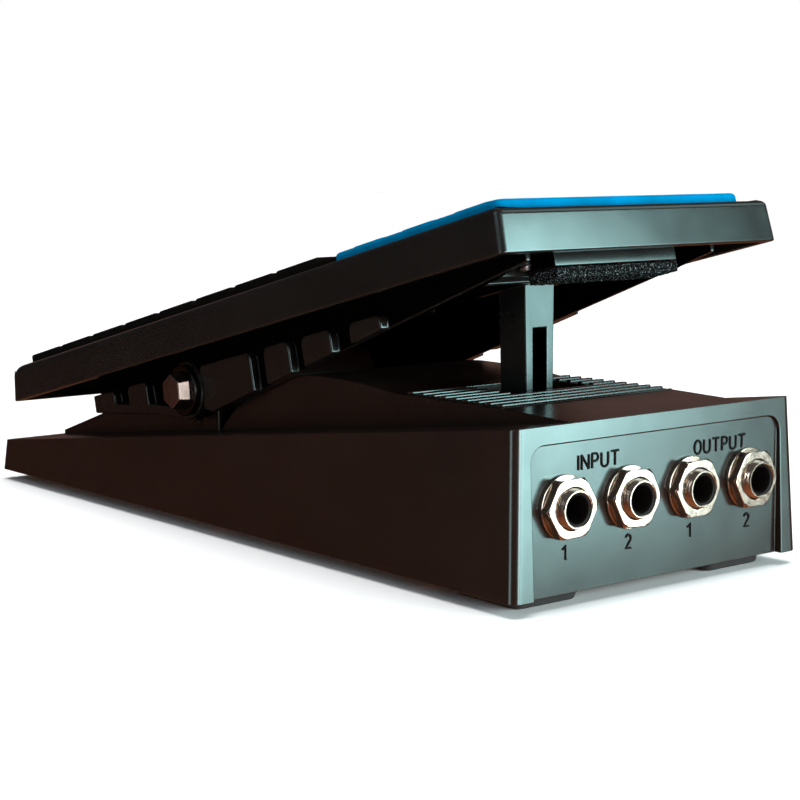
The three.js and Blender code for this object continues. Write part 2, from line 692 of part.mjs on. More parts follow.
// The block that carries the toe bumper, with a boss at each end for a screw from above.
const carrierTop = SOLE_Z - WALL - GAP;
const [screwX, screwY] = BUMPER_SCREW;
const carrierX = [-CARRIER_HALF, CARRIER_HALF];
const pocket = box(
  [2 - CARRIER_HALF, CARRIER_HALF - 2],
  [CARRIER_Y[0] + 2, CARRIER_Y[1] + 1],
  [CARRIER_Z + 1.5, carrierTop - 1.5],
);
const carrier = box(carrierX, CARRIER_Y, [CARRIER_Z, carrierTop])
  .subtract(pocket)
  .add(both((side) => rod(2.8, "Z", 11.6, carrierTop, side * screwX, screwY)))
  .subtract(both((side) => rod(1.35, "Z", 0, 30, side * screwX, screwY)));
put("bumper_carrier", carrier, BLACK, 0.5, 0, rocker);
for (const [place, side] of Object.entries(SIDES)) {
  const screw = rod(1.2, "Z", 8, SOLE_Z - 1, side * screwX, screwY, 20).add(
    rod(1.2, "Z", SOLE_Z - 1.4, SOLE_Z - 0.1, side * screwX, screwY, 20, 2.4),
  );
  put(`bumper_screw_${place}`, screw, STEEL, 0.35, 1, rocker);
}
const bumper = box(carrierX, CARRIER_Y, [CARRIER_Z - BUMPER_T - GAP, CARRIER_Z - GAP]);
put("toe_bumper", bumper, 0x232325, 1, 0, rocker);

export default root;
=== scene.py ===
"""The looks of a rocker volume pedal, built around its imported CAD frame.

Metres, +Z up, the toe end with the jacks at -Y and the heel at +Y.
"""

import json
import math

import bmesh
import bpy
from mathutils import Matrix, Vector, noise


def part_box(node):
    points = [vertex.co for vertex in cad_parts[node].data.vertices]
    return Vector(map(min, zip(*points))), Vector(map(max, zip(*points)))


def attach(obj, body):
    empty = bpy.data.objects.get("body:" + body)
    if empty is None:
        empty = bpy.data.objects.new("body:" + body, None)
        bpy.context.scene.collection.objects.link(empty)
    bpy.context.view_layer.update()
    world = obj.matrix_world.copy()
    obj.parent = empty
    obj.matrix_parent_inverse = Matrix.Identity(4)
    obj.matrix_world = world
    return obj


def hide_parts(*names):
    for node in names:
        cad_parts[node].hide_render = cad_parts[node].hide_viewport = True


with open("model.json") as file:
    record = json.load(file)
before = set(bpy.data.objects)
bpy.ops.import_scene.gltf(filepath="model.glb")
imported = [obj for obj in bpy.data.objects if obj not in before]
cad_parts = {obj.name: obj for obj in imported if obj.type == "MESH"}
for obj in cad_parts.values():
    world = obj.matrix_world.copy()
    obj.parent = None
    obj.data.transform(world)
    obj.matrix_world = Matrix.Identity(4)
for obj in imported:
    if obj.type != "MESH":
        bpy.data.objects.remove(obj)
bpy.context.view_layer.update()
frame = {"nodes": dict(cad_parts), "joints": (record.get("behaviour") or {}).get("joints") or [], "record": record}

MM = 0.001
TILT = math.radians(12.84)  # the treadle's slope at rest, toe up

RECORD = frame["record"]
BODY_OF = {node: body for body, nodes in RECORD["behaviour"]["bodies"].items() for node in nodes}
SLOT_OF = {part["node"]: part["material_slot"] for part in RECORD["subparts"]}
HINGE = next(joint for joint in frame["joints"] if joint["name"] == "treadle_hinge")
TREADLE_FRAME = Matrix.Translation(HINGE["pos_m"]) @ Matrix.Rotation(-TILT, 4, "X")


# ---------------------------------------------------------------- camera
CAMERA_AT = (-0.30896, -0.42334, 0.09857)
CAMERA_TURN = (-37.74, 7.12, -0.62)  # azimuth, elevation and roll in degrees
LENS = 83.16  # mm, on a sensor 36 mm wide


def make_camera():
    """Low, from the left of the toe end."""
    azimuth, elevation, roll = (math.radians(angle) for angle in CAMERA_TURN)
    flat = math.cos(elevation)
    right = Vector((math.cos(azimuth), math.sin(azimuth), 0))
    back = Vector((math.sin(azimuth) * flat, -math.cos(azimuth) * flat, math.sin(elevation)))
    up = back.cross(right)
    turned_right = math.cos(roll) * right + math.sin(roll) * up
    turned_up = -math.sin(roll) * right + math.cos(roll) * up
    data = bpy.data.cameras.new("camera")
    data.sensor_width = 36
    data.lens = LENS
    data.clip_start = 0.01
    camera = bpy.data.objects.new("camera", data)
    bpy.context.scene.collection.objects.link(camera)
    turn = Matrix((turned_right, turned_up, back)).transposed().to_4x4()
    camera.matrix_world = Matrix.Translation(CAMERA_AT) @ turn
    bpy.context.scene.camera = camera


make_camera()


# ---------------------------------------------------------------- mesh helpers
MERGE = 0.002 * MM  # vertices nearer than this are one
FLAT = math.radians(0.6)  # faces that lie this close to one plane become one face


def link(name, data):
    obj = bpy.data.objects.new(name, data)
    bpy.context.scene.collection.objects.link(obj)
    return obj


def finish_mesh(bm, name):
    mesh = bpy.data.meshes.new(name)
    bmesh.ops.recalc_face_normals(bm, faces=bm.faces)
    bm.to_mesh(mesh)
    bm.free()
    return link(name, mesh)


def applied(obj):
    """The object's shape with its modifiers or its curve bevel worked in, as a plain mesh."""
    depsgraph = bpy.context.evaluated_depsgraph_get()
    mesh = bpy.data.meshes.new_from_object(obj.evaluated_get(depsgraph))
    name, matrix = obj.name, obj.matrix_world.copy()
    bpy.data.objects.remove(obj)
    piece = link(name, mesh)
    piece.matrix_world = matrix
    return piece


def smooth(obj, angle):
    obj.data.shade_smooth()
    obj.data.set_sharp_from_angle(angle=math.radians(angle))
    return obj


def copy_of(node, name):
    """The CAD node's mesh as clean flat faces, in a new object."""
    bm = bmesh.new()
    bm.from_mesh(frame["nodes"][node].data)
    bmesh.ops.remove_doubles(bm, verts=bm.verts, dist=MERGE)
    bmesh.ops.dissolve_limit(bm, angle_limit=FLAT, verts=bm.verts, edges=bm.edges, delimit=set())
    return finish_mesh(bm, name)


def soften(obj, width, angle=22, segments=3):
    """Rounds the edges sharper than `angle` and keeps the flats flat."""
    bevel = obj.modifiers.new("round", "BEVEL")
    bevel.width = width
    bevel.segments = segments
    bevel.limit_method = "ANGLE"
    bevel.angle_limit = math.radians(angle)
    bevel.use_clamp_overlap = False
    obj.modifiers.new("normals", "WEIGHTED_NORMAL").weight = 80
    obj.data.shade_smooth()
    return applied(obj)


def arc(cx, cz, rx, rz, start, end, steps=9):
    """Points of an ellipse's arc, angles in degrees."""
    angles = [math.radians(start + (end - start) * i / steps) for i in range(steps + 1)]
    return [(cx + rx * math.cos(a), cz + rz * math.sin(a)) for a in angles]


def bridge(bm, low, high):
    """A band of faces between two rings of vertices."""
    for i in range(len(low)):
        j = (i + 1) % len(low)
        bm.faces.new((low[i], low[j], high[j], high[i]))


def turned(name, stations, placing, hollow, sides=96):
    """A turned piece. Each station is a height along its axis and a radius, or the radius as a
    function of the angle. A hollow piece's stations run up the outside and back down the bore."""
    bm = bmesh.new()
    rings = []
    for height, radius in stations:
        ring = []
        for i in range(sides):
            angle = 2 * math.pi * i / sides
            r = radius(angle) if callable(radius) else radius
            ring.append(bm.verts.new((r * math.cos(angle), r * math.sin(angle), height)))
        rings.append(ring)
    pairs = list(zip(rings, rings[1:]))
    if hollow:
        pairs.append((rings[-1], rings[0]))
    for low, high in pairs:
        bridge(bm, low, high)
    if not hollow:
        bm.faces.new(rings[0])
        bm.faces.new(rings[-1])
    bm.transform(placing)
    return smooth(finish_mesh(bm, name), 40)


def thread(start, end, pitch, radius, depth, lead_in):
    """Stations of a helical thread. Its first turn rises out of a chamfer `lead_in` deep."""
    steps = round(8 * (end - start) / pitch)

    def station(height):
        def at(angle):
            turn = (height / pitch - angle / (2 * math.pi)) % 1
            flank = radius - depth * abs(2 * turn - 1)
            return min(flank, radius - lead_in + 1.1 * (height - start))

        return height, at

    return [station(start + (end - start) * i / steps) for i in range(steps + 1)]


def place(obj, body, slot, *nodes, look=None):
    obj.data.materials.clear()
    obj.data.materials.append(MATERIALS[look or slot])
    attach(obj, body)
    if nodes:
        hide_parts(*nodes)
    return obj


def stand_for(obj, node):
    """Puts a finer piece where a CAD node is, with the node's own body and material slot."""
    look = "washer_black" if node.startswith("hinge_washer") else None
    return place(obj, BODY_OF[node], SLOT_OF[node], node, look=look)


# ---------------------------------------------------------------- materials
def fill_ramp(node, stops):
    """Gives a colour ramp node its stops, each a position and a colour."""
    elements = node.color_ramp.elements
    while len(elements) < len(stops):
        elements.new(0.5)
    for element, (position, colour) in zip(elements, stops):
        element.position = position
        element.color = (*colour, 1)


class Nodes:
    """A material's node tree, with short calls to add and join nodes."""

    def __init__(self, name):
        self.material = bpy.data.materials.new(name)
        self.material.use_nodes = True
        self.tree = self.material.node_tree
        self.shader = self.tree.nodes["Principled BSDF"]
        self.coords = self.add("ShaderNodeTexCoord").outputs["Object"]

    def add(self, kind, **values):
        node = self.tree.nodes.new(kind)
        for key, value in values.items():
            if key in node.inputs:
                node.inputs[key].default_value = value
            else:
                setattr(node, key, value)
        return node

    def join(self, output, target):
        self.tree.links.new(output, target)

    def set(self, **values):
        """Sets the shader's own sockets; an underscore stands for a space."""
        for key, value in values.items():
            self.shader.inputs[key.replace("_", " ")].default_value = value

    def noise(self, scale, detail=3.0, rough=0.5, stretch=(1, 1, 1)):
        """Noise with `scale` features per metre, finer along the axes that are stretched more."""
        mapping = self.add("ShaderNodeMapping", Scale=stretch)
        self.join(self.coords, mapping.inputs["Vector"])
        node = self.add("ShaderNodeTexNoise", Scale=scale, Detail=detail, Roughness=rough)
        self.join(mapping.outputs["Vector"], node.inputs["Vector"])
        return node.outputs["Fac"]

    def ramp(self, factor, stops):
        node = self.add("ShaderNodeValToRGB")
        fill_ramp(node, stops)
        self.join(factor, node.inputs["Fac"])
        return node.outputs["Color"]

    def mask(self, factor, low, high):
        """0 below `low`, 1 above `high`, smooth between."""
        node = self.add("ShaderNodeMapRange", interpolation_type="SMOOTHSTEP")
        node.inputs["From Min"].default_value = low
        node.inputs["From Max"].default_value = high
        self.join(factor, node.inputs["Value"])
        return node.outputs["Result"]

    def range(self, factor, low, high):
        node = self.add("ShaderNodeMapRange", **{"To Min": low, "To Max": high})
        self.join(factor, node.inputs["Value"])
        return node.outputs["Result"]

    def math(self, operation, a, b=0.0):
        node = self.add("ShaderNodeMath", operation=operation)
        for socket, value in zip(node.inputs, (a, b)):
            if isinstance(value, (int, float)):
                socket.default_value = value
            else:
                self.join(value, socket)
        return node.outputs["Value"]

    def mix(self, factor, a, b):
        """Colour a, turning into colour b where the factor is 1."""
        node = self.add("ShaderNodeMix", data_type="RGBA")
        self.join(factor, node.inputs["Factor"])
        for socket, value in ((node.inputs[6], a), (node.inputs[7], b)):
            if isinstance(value, tuple):
                socket.default_value = (*value, 1)
            else:
                self.join(value, socket)
        return node.outputs[2]

    def edges(self, strength, reach=0.45 * MM):
        """Worn, broken-up lines along the edges."""
        rounded = self.add("ShaderNodeBevel", samples=4, Radius=reach)
        facing = self.add("ShaderNodeVectorMath", operation="DOT_PRODUCT")
        self.join(rounded.outputs["Normal"], facing.inputs[0])
        self.join(self.add("ShaderNodeNewGeometry").outputs["Normal"], facing.inputs[1])
        turned_away = self.math("SUBTRACT", 1.0, facing.outputs["Value"])
        broken = self.mask(self.noise(260, 4, 0.6), 0.35, 0.65)
        worn = self.math("MULTIPLY", self.mask(turned_away, 0.03, 0.2), broken)
        return self.math("MULTIPLY", worn, strength)

    def split(self, vector):
        node = self.add("ShaderNodeSeparateXYZ")
        self.join(vector, node.inputs["Vector"])
        return node.outputs

    def side_faces_within(self, reach):
        """1 on faces square to X that are nearer than `reach` to the middle plane."""
        normal = self.split(self.add("ShaderNodeNewGeometry").outputs["Normal"])
        facing = self.mask(self.math("ABSOLUTE", normal["X"]), 0.75, 0.95)
        across = self.math("ABSOLUTE", self.split(self.coords)["X"])
        return self.math("MULTIPLY", facing, self.math("LESS_THAN", across, reach))

    def inside_slot(self, half_width, mouth):
        """1 where the middle plane is nearer than `half_width` and Y is past the slot's mouth."""
        spot = self.split(self.coords)
        narrow = self.math("LESS_THAN", self.math("ABSOLUTE", spot["X"]), half_width)
        return self.math("MULTIPLY", narrow, self.math("GREATER_THAN", spot["Y"], mouth))

    def bump(self, height, strength, distance, normal=None):
        node = self.add("ShaderNodeBump", Strength=strength, Distance=distance)
        self.join(height, node.inputs["Height"])
        if normal is not None:
            self.join(normal, node.inputs["Normal"])
        self.join(node.outputs["Normal"], self.shader.inputs["Normal"])
        return node.outputs["Normal"]


def shades(colour, dark, light):
    return tuple(c * dark for c in colour), tuple(min(1, c * light) for c in colour)


def moulded_plastic(name, colour, roughness, grain=0.05, specular=0.95, tint=(1, 1, 1), matt=None):
    """Satin moulded plastic: spark-eroded grain, cloudy gloss, faint scuffs, rubbed edges. The last
    argument, if given, makes a mask of faces painted near black and without gloss: painted shade."""
    n = Nodes(name)
    dark, light = shades(colour, 0.8, 1.25)
    cloud = n.ramp(n.noise(38, 4, 0.6), [(0.3, dark), (0.7, light)])
    edge = n.edges(0.5)
    skin = n.mix(edge, cloud, shades(colour, 1, 2.0)[1])
    # the tint colours the gloss; the cyan tint given to the plastics is painted sheen, standing in for the light's
    # colour
    n.set(Specular_IOR_Level=specular, Specular_Tint=(*tint, 1))
    if matt:
        # painted shade: the masked faces are darkened to near black and lose their gloss
        painted_shade = matt(n)
        skin = n.mix(painted_shade, skin, shades(colour, 0.15, 1)[0])
        n.join(n.range(painted_shade, specular, 0.0), n.shader.inputs["Specular IOR Level"])
    n.join(skin, n.shader.inputs["Base Color"])
    patchy = n.range(n.noise(95, 3), roughness - 0.05, roughness + 0.06)
    scuffs = n.mask(n.noise(120, 5, 0.7, (1, 9, 3)), 0.6, 0.8)
    rough = n.math("ADD", patchy, n.math("MULTIPLY", scuffs, 0.03))
    n.join(n.math("SUBTRACT", rough, n.math("MULTIPLY", edge, 0.06)), n.shader.inputs["Roughness"])
    sink = n.bump(n.noise(45, 2), 0.05, 0.001)
    coarse = n.bump(n.noise(1900, 2), grain, 0.000025, sink)
    n.bump(n.noise(5200, 2), grain, 0.00002, coarse)
    return n.material


def metal(name, colour, roughness, scratch=0.05):
    """Plated metal: slight tarnish, fine tool marks, polished edges."""
    n = Nodes(name)
    tarnish, bright = shades(colour, 0.74, 1.04)
    worn = n.ramp(n.noise(420, 4, 0.65), [(0.35, tarnish), (0.6, colour)])
    n.join(n.mix(n.edges(0.8), worn, bright), n.shader.inputs["Base Color"])
    n.join(n.range(n.noise(900, 4), roughness * 0.7, roughness * 1.5), n.shader.inputs["Roughness"])
    n.set(Metallic=1.0)
    n.bump(n.noise(2600, 2), scratch, 0.0001, n.bump(n.noise(300, 2), 0.04, 0.0003))
    return n.material


def rubber(name, colour, roughness, specular=0.3, grain=0.2):
    """Moulded rubber: pebbled skin, dusty bloom in patches, paler rubbed edges."""
    n = Nodes(name)
    dark, light = shades(colour, 0.82, 1.12)
    skin = n.ramp(n.noise(130, 5, 0.6), [(0.3, dark), (0.7, light)])
    dusty = shades(colour, 1, 1.2)[1]
    bloom = n.mix(n.mask(n.noise(60, 6, 0.7), 0.55, 0.8), skin, dusty)
    n.join(n.mix(n.edges(0.5), bloom, shades(colour, 1, 1.35)[1]), n.shader.inputs["Base Color"])
    n.join(n.range(n.noise(300, 3), roughness - 0.07, roughness + 0.07), n.shader.inputs["Roughness"])
    n.set(Specular_IOR_Level=specular)
    n.bump(n.noise(3600, 3), grain, 0.0001, n.bump(n.noise(1100, 3), grain, 0.00015))
    return n.material


def open_foam(name, colour, fleck):
    """Open-cell foam: black with pale torn cell walls."""
    n = Nodes(name)
    flecks = n.mask(n.noise(3000, 3, 0.6), 0.6, 0.66)
    n.join(n.mix(flecks, colour, fleck), n.shader.inputs["Base Color"])
    n.join(n.range(n.noise(900, 2), 0.85, 1.0), n.shader.inputs["Roughness"])
    n.set(Specular_IOR_Level=0.0)
    n.bump(n.noise(1500, 4, 0.7), 0.6, 0.0004)
    return n.material


def laminate(name, colour):
    """Circuit board: solder mask over glass weave."""
    n = Nodes(name)
    dark, light = shades(colour, 0.85, 1.1)
    weave = n.add("ShaderNodeTexWave", Scale=900, Distortion=1.5)
    n.join(n.coords, weave.inputs["Vector"])
    n.join(n.ramp(weave.outputs["Fac"], [(0.2, dark), (0.8, light)]), n.shader.inputs["Base Color"])
    n.join(n.range(n.noise(200), 0.25, 0.4), n.shader.inputs["Roughness"])
    n.bump(weave.outputs["Fac"], 0.1, 0.0001)
    return n.material


EAR_RECESS = 32.5 * MM  # the ears' outer faces between their raised blocks are nearer than this
RACK_HALF = 2.25 * MM  # half width of the arm's slot, whose back wall has the rack's teeth
RACK_MOUTH = -81.2 * MM  # Y just inside the slot's mouth
# a cyan tint on the plastics' gloss, standing in for the cyan cast of the studio light: painted sheen
PAINTED_CYAN_SHEEN = (0.7, 1.0, 1.0)
SOOT = (0.006, 0.0045, 0.004)
BLACK = (0.011, 0.004, 0.0026)
MATERIALS = {
    "case_plastic": moulded_plastic("case_plastic", BLACK, 0.23, tint=PAINTED_CYAN_SHEEN),
    "treadle_plastic": moulded_plastic(
        # painted shade: faces square to X nearer than EAR_RECESS to the middle, the ears' recesses under the skirt
        # among them, are painted near black
        "treadle_plastic", SOOT, 0.19, tint=PAINTED_CYAN_SHEEN, matt=lambda n: n.side_faces_within(EAR_RECESS)
    ),
    "arm_plastic": moulded_plastic(
        "arm_plastic",
        (0.003, 0.003, 0.003),
        0.28,
        specular=0.75,
        tint=PAINTED_CYAN_SHEEN,
        # painted shade: the arm's faces inside the slot's mouth are painted near black
        matt=lambda n: n.inside_slot(RACK_HALF, RACK_MOUTH),
    ),
    "jack_plastic": moulded_plastic("jack_plastic", (0.004, 0.003, 0.0025), 0.5, specular=0.08),
    "plate_paint": moulded_plastic("plate_paint", (0.02, 0.02, 0.021), 0.48, grain=0.35, specular=0.5),
    "gear_nylon": moulded_plastic("gear_nylon", (0.72, 0.70, 0.62), 0.45, specular=0.5),
    "nickel": metal("nickel", (0.68, 0.57, 0.48), 0.16),
    "screw_steel": metal("screw_steel", (0.34, 0.32, 0.31), 0.34),
    "bolt_black": metal("bolt_black", (0.34, 0.27, 0.24), 0.28, scratch=0.1),
    "washer_black": metal("washer_black", (0.05, 0.045, 0.042), 0.26, scratch=0.1),
    "foot_rubber": rubber("foot_rubber", (0.014, 0.014, 0.014), 0.78),
    "pad_black": rubber("pad_black", (0.005, 0.0045, 0.004), 0.8, specular=0.0),
    "pad_blue": rubber("pad_blue", (0.0, 0.125, 0.27), 0.75, specular=0.0, grain=0.12),
    "foam": open_foam("foam", (0.004, 0.004, 0.004), (0.2, 0.25, 0.26)),
    "board": laminate("board", (0.02, 0.13, 0.06)),
}


# ---------------------------------------------------------------- pieces with softened edges
# in mm, for the nodes whose names start so
EDGE_WIDTHS = {
    "base_case": 0.26,
    "base_plate": 0.2,
    "foot": 0.5,
    "jack_nut": 0.22,
    "jack_washer": 0.2,
    "jack_body": 0.4,
    "jack_board": 0.15,
    "hinge": 0.35,
    "arm_guide": 0.3,
    "pot": 0.25,
    "pinion_gear": 0.1,
    "rack_arm": 0.35,
    "arm_pin": 0.15,
    "treadle": 0.45,
    "pivot_bush": 0.15,
    "heel_pad": 0.6,
    "bumper_carrier": 0.35,
}
OWN_SHAPE = ("jack_bushing", "bumper_screw", "heel_stop", "toe_bumper", "toe_pad")  # made further on
SAME_LEVEL = 0.1 * MM  # vertices this near to a face's level belong to it
RIM_WIDTH = 1.7 * MM
RIM_REACH = 3.2 * MM  # the rim's edges are no farther in than this
RIM_ANGLE = math.radians(40)
HEAD_TAPER = 0.88  # width of a hinge bolt's outer face, as a share of the CAD's


def edge_width(node):
    return next(width for start, width in EDGE_WIDTHS.items() if node.startswith(start)) * MM


def round_rim(obj):
    """Rounds the sides and the toe edge of the treadle's top face more than its other edges."""
    bm = bmesh.new()
    bm.from_mesh(obj.data)
    bm.transform(TREADLE_FRAME.inverted())
    level = max(vertex.co.z for vertex in bm.verts)
    face = [vertex.co for vertex in bm.verts if abs(vertex.co.z - level) < SAME_LEVEL]
    reach = max(point.x for point in face) - RIM_REACH
    toe = min(point.y for point in face) + RIM_REACH
    rim = []
    for edge in bm.edges:
        level_with_it = all(abs(vertex.co.z - level) < SAME_LEVEL for vertex in edge.verts)
        outside = all(abs(vertex.co.x) > reach or vertex.co.y < toe for vertex in edge.verts)
        if level_with_it and outside and edge.is_convex and edge.calc_face_angle(0) > RIM_ANGLE:
            rim.append(edge)
    bmesh.ops.bevel(bm, geom=rim, offset=RIM_WIDTH, segments=6, profile=0.5, affect="EDGES")
    bm.transform(TREADLE_FRAME)
    bm.to_mesh(obj.data)
    bm.free()


def taper_head(obj):
    """Draws the hinge bolt's outer face in, as on a forged hexagon head."""
    tip = max(abs(vertex.co.x) for vertex in obj.data.vertices)
    for vertex in obj.data.vertices:
        if abs(vertex.co.x) > tip - SAME_LEVEL:
            vertex.co.y += (HEAD_TAPER - 1) * (vertex.co.y - HINGE["pos_m"][1])
            vertex.co.z += (HEAD_TAPER - 1) * (vertex.co.z - HINGE["pos_m"][2])


for node in BODY_OF:
    if not node.startswith(OWN_SHAPE):
        piece = copy_of(node, f"{node}_skin")
        if node == "treadle":
            round_rim(piece)
        if node.startswith("hinge_bolt"):
            taper_head(piece)
        stand_for(soften(piece, edge_width(node)), node)


# ---------------------------------------------------------------- jacks
THREAD_R = 4.7 * MM
THREAD_END = 3.2 * MM  # lengths along a jack are measured from its toe end
CORE_R = 4.4 * MM
BORE_R = 3.25 * MM
MOUTH_R = 3.85 * MM
MOUTH_DEPTH = 2.4 * MM
SHOULDER_R = 6.4 * MM
SHOULDER = 1.5 * MM
CHAMFER = 0.2 * MM
LINER_GAP = 0.03 * MM
LINER_R = 3.05 * MM  # the inner radius
ALONG_Y = Matrix.Rotation(-math.pi / 2, 4, "X")  # a turned piece's axis, from the toe to the heel


def jack_place(node):
    """The barrel's length, and the placing of a piece that is turned about its axis."""
    low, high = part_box(node)
    toe_end = Vector(((low.x + high.x) / 2, low.y, (low.z + high.z) / 2))
    return high.y - low.y, Matrix.Translation(toe_end) @ ALONG_Y


def jack_bushing(node):
    """The threaded barrel with a chamfered mouth and a stepped bore for the plug."""
    length, placing = jack_place(node)
    stations = [(0, MOUTH_R + CHAMFER)]
    stations += thread(
        0, THREAD_END, pitch=0.8 * MM, radius=THREAD_R, depth=0.55 * MM, lead_in=0.4 * MM
    )
    stations += [(THREAD_END + 0.1 * MM, CORE_R), (length - SHOULDER, CORE_R)]
    stations += [(length - SHOULDER, SHOULDER_R), (length, SHOULDER_R), (length, BORE_R)]
    stations += [(MOUTH_DEPTH + 0.25 * MM, BORE_R), (MOUTH_DEPTH, MOUTH_R), (CHAMFER, MOUTH_R)]
    return turned(f"{node}_turned", stations, placing, hollow=True)


def jack_liner(node):
    """The black sleeve that lines the barrel's bore."""
    length, placing = jack_place(node)
    outer, step = MOUTH_R - LINER_GAP, BORE_R - LINER_GAP
    stations = [(0.3 * MM, outer), (MOUTH_DEPTH - 0.05 * MM, outer), (MOUTH_DEPTH, step)]
    stations += [(length, step), (length, LINER_R), (1.0 * MM, LINER_R), (0.4 * MM, LINER_R + 0.3 * MM)]
    return turned(f"jack_liner_{node[-1]}", stations, placing, hollow=True)


for i in range(1, 5):
    stand_for(jack_bushing(f"jack_bushing_{i}"), f"jack_bushing_{i}")
    place(jack_liner(f"jack_bushing_{i}"), "base", "jack_plastic")


# ---------------------------------------------------------------- bumper: screws and foam
SCREW_R = 1.4 * MM
SCREW_HEAD = 1.3 * MM  # the head's height
SCREW_HEAD_R = 2.4 * MM
SCREW_RIM = 0.1 * MM
CELL = 0.4 * MM
PIT_DEPTH = 0.22 * MM


def treadle_box(node):
    """The node's lowest and highest corner in the treadle's own frame."""
    corners = [TREADLE_FRAME.inverted() @ v.co for v in frame["nodes"][node].data.vertices]
    low = Vector([min(c[axis] for c in corners) for axis in range(3)])
    high = Vector([max(c[axis] for c in corners) for axis in range(3)])
    return low, high


def bumper_screw(node):
    """A countersunk screw, thread down, through the treadle and the carrier's boss."""
    low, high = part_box(node)
    middle = TREADLE_FRAME.inverted() @ ((low + high) / 2)
    bottom, top = (corner.z for corner in treadle_box(node))
    stations = [(bottom, SCREW_R / 2)]
    stations += thread(
        bottom, top - SCREW_HEAD, pitch=1.7 * MM, radius=SCREW_R, depth=0.45 * MM, lead_in=0.4 * MM
    )
    stations += [(top - SCREW_RIM, SCREW_HEAD_R), (top, SCREW_HEAD_R - SCREW_RIM)]
    stations += [(top, 0.8 * MM), (top - 0.7 * MM, 0.3 * MM)]  # the driver's recess
    axis = Matrix.Translation((middle.x, middle.y, 0))
    return turned(f"{node}_turned", stations, TREADLE_FRAME @ axis, hollow=False, sides=40)


def foam_block(node):
    """A block of open-cell foam: torn cells all over, its corners slightly rounded."""
    block = copy_of(node, f"{node}_foam")
    remesh = block.modifiers.new("cells", "REMESH")
    remesh.mode = "VOXEL"
    remesh.voxel_size = CELL
    block = applied(block)
    for vertex in block.data.vertices:
        place_in_foam = vertex.co / (1.6 * CELL)
        pit = noise.noise(place_in_foam) + 0.5 * noise.noise(place_in_foam * 2.3)
        vertex.co += vertex.normal * PIT_DEPTH * (pit - 0.35)  # the skin sinks a little as a whole
    return smooth(block, 80)


for side in ("left", "right"):
    stand_for(bumper_screw(f"bumper_screw_{side}"), f"bumper_screw_{side}")
for node in ("toe_bumper", "heel_stop"):
    stand_for(foam_block(node), node)


# ---------------------------------------------------------------- toe pad
PAD_STEP = 0.5 * MM  # height of the tiles over the pad
PAD_CORNER = 3 * MM
PAD_RIM = 1.1 * MM
TILE_HALF = (11.6 * MM, 8 * MM)  # half a tile across and along the treadle
TILE_PITCH = (26 * MM, 20 * MM)
TILE_FIRST = 12 * MM  # middle of the first row of tiles, from the pad's toe edge
TILE_RIM = 0.4 * MM


def rounded_slab(bm, centre, half, bottom, top, rim, steps=5):
    """A flat block with rounded corners and a rounded rim round its top face."""
    levels = [(bottom, 0.0)]
    for i in range(steps + 1):
        lean = math.radians(90 * i / steps)
        levels.append((top - rim * (1 - math.sin(lean)), rim * (1 - math.cos(lean))))
    rings = []
    for height, inset in levels:
        ring = []
        for turn, (side_x, side_y) in enumerate(((1, 1), (-1, 1), (-1, -1), (1, -1))):
            x = centre[0] + side_x * (half[0] - PAD_CORNER)
            y = centre[1] + side_y * (half[1] - PAD_CORNER)
            for px, py in arc(x, y, PAD_CORNER - inset, PAD_CORNER - inset, 90 * turn, 90 * turn + 90, 6):
                ring.append(bm.verts.new((px, py, height)))
        rings.append(ring)
    for low, high in zip(rings, rings[1:]):
        bridge(bm, low, high)
    bm.faces.new(rings[0])
    bm.faces.new(rings[-1])


def tiled_pad(node):
    """The toe pad: a slab with nine low tiles."""
    low, high = treadle_box(node)
    half = ((high.x - low.x) / 2, (high.y - low.y) / 2)
    bm = bmesh.new()
    rounded_slab(bm, (0, (low.y + high.y) / 2), half, low.z, high.z - PAD_STEP, PAD_RIM)
    for row in range(3):
        for column in (-1, 0, 1):
            centre = (column * TILE_PITCH[0], low.y + TILE_FIRST + row * TILE_PITCH[1])
            rounded_slab(bm, centre, TILE_HALF, high.z - 2 * PAD_STEP, high.z, TILE_RIM)
    bm.transform(TREADLE_FRAME)
    return smooth(finish_mesh(bm, f"{node}_tiled"), 40)


stand_for(tiled_pad("toe_pad"), "toe_pad")


# ---------------------------------------------------------------- labels on the jack panel
STROKE_R = 0.3 * MM
# each letter's width and its strokes, in a cell 1 high
STROKES = {
    "I": (0.0, [[(0, 0), (0, 1)]]),
    "N": (0.66, [[(0, 0), (0, 1)], [(0, 1), (0.66, 0)], [(0.66, 0), (0.66, 1)]]),
    "P": (0.56, [[(0, 0), (0, 1)], [(0, 1), *arc(0.28, 0.74, 0.28, 0.26, 90, -90), (0, 0.48)]]),
    "U": (0.64, [[(0, 1), *arc(0.32, 0.3, 0.32, 0.3, 180, 360), (0.64, 1)]]),
    "T": (0.68, [[(0.34, 0), (0.34, 1)], [(0, 1), (0.68, 1)]]),
    "O": (0.7, [arc(0.35, 0.5, 0.35, 0.5, 0, 360, 24)]),
    "1": (0.28, [[(0, 0.76), (0.28, 1), (0.28, 0)]]),
    "2": (0.5, [[*arc(0.25, 0.73, 0.25, 0.27, 165, -35), (0, 0), (0.5, 0)]]),
}


